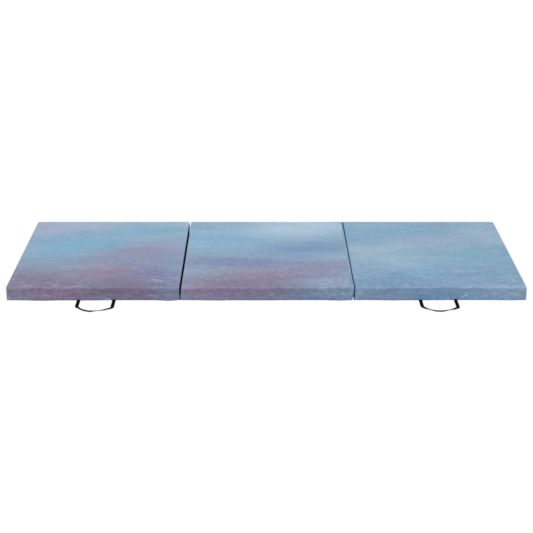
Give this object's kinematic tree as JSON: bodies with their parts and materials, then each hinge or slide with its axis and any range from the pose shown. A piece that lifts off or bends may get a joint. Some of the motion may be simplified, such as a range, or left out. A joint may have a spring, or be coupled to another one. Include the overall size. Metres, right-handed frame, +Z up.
{
  "type": "folding gymnastics mat",
  "caption": "Accordion-folding exercise mat of zipped, foam-filled square panels on cloth hinges, with flat webbing hand loops on the outer panels.",
  "frame": {"origin": "centre of the middle panel's underside, on the floor", "axes": "+X along the mat from the left to the right panel, +Y from the front with the hand loops to the back with the zips, +Z up"},
  "size_m": [1.829, 0.7067, 0.0508],
  "materials": {
    "cover_print": "matt printed cloth",
    "foam": "closed-cell foam",
    "base_cloth": "matt non-slip cloth",
    "fold_cloth": "matt cloth",
    "webbing": "woven webbing",
    "zip_tape": "woven tape",
    "zip_teeth": "moulded nylon",
    "zip_metal": "satin plated metal"
  },
  "bodies": {
    "panel_middle": {"cover_middle": "cover_print", "foam_middle": "foam", "base_middle": "base_cloth", "hinge_strip_left": "fold_cloth", "hinge_strip_right": "fold_cloth", "zip_middle_tape_upper": "zip_tape", "zip_middle_tape_lower": "zip_tape", "zip_middle_teeth_upper": "zip_teeth", "zip_middle_teeth_lower": "zip_teeth", "zip_middle_stop_start": "zip_metal", "zip_middle_stop_end": "zip_metal"},
    "panel_left": {"cover_left": "cover_print", "foam_left": "foam", "base_left": "base_cloth", "handle_left_end_a": "webbing", "handle_left_end_b": "webbing", "zip_left_tape_upper": "zip_tape", "zip_left_tape_lower": "zip_tape", "zip_left_teeth_upper": "zip_teeth", "zip_left_teeth_lower": "zip_teeth", "zip_left_stop_start": "zip_metal", "zip_left_stop_end": "zip_metal"},
    "panel_right": {"cover_right": "cover_print", "foam_right": "foam", "base_right": "base_cloth", "handle_right_end_a": "webbing", "handle_right_end_b": "webbing", "zip_right_tape_upper": "zip_tape", "zip_right_tape_lower": "zip_tape", "zip_right_teeth_upper": "zip_teeth", "zip_right_teeth_lower": "zip_teeth", "zip_right_stop_start": "zip_metal", "zip_right_stop_end": "zip_metal"},
    "loop_left": {"handle_left": "webbing"},
    "loop_right": {"handle_right": "webbing"},
    "slider_left": {"zip_left_slider": "zip_metal"},
    "slider_middle": {"zip_middle_slider": "zip_metal"},
    "slider_right": {"zip_right_slider": "zip_metal"},
    "pull_left": {"zip_left_pull": "zip_metal"},
    "pull_middle": {"zip_middle_pull": "zip_metal"},
    "pull_right": {"zip_right_pull": "zip_metal"}
  },
  "joints": [
    {"name": "fold_left", "type": "hinge", "parent": "panel_middle", "child": "panel_left", "pos_m": [-0.30483, 0, -0.0003], "axis": [0, -1, 0], "range_deg": [-3, 180], "deforming": ["hinge_strip_left"]},
    {"name": "fold_right", "type": "hinge", "parent": "panel_middle", "child": "panel_right", "pos_m": [0.30483, 0, 0.0511], "axis": [0, -1, 0], "range_deg": [-1.5, 180], "deforming": ["hinge_strip_right"]},
    {"name": "loop_left_swing", "type": "hinge", "parent": "panel_left", "child": "loop_left", "pos_m": [-0.5993, -0.306, 0.00195], "axis": [-1, 0, 0], "range_deg": [-80, 85]},
    {"name": "loop_right_swing", "type": "hinge", "parent": "panel_right", "child": "loop_right", "pos_m": [0.6037, -0.306, 0.00195], "axis": [-1, 0, 0], "range_deg": [-80, 85]},
    {"name": "zip_left_run", "type": "slide", "parent": "panel_left", "child": "slider_left", "axis": [-1, 0, 0], "range_m": [0, 0.497]},
    {"name": "zip_middle_run", "type": "slide", "parent": "panel_middle", "child": "slider_middle", "axis": [-1, 0, 0], "range_m": [0, 0.497]},
    {"name": "zip_right_run", "type": "slide", "parent": "panel_right", "child": "slider_right", "axis": [-1, 0, 0], "range_m": [0, 0.497]},
    {"name": "pull_left_turn", "type": "hinge", "parent": "slider_left", "child": "pull_left", "pos_m": [-0.36103, 0.3079, 0.0244], "axis": [0, 0, -1], "range_deg": [0, 170]},
    {"name": "pull_middle_turn", "type": "hinge", "parent": "slider_middle", "child": "pull_middle", "pos_m": [0.24863, 0.3079, 0.0244], "axis": [0, 0, -1], "range_deg": [0, 170]},
    {"name": "pull_right_turn", "type": "hinge", "parent": "slider_right", "child": "pull_right", "pos_m": [0.8583, 0.3079, 0.0244], "axis": [0, 0, -1], "range_deg": [0, 170]}
  ]
}
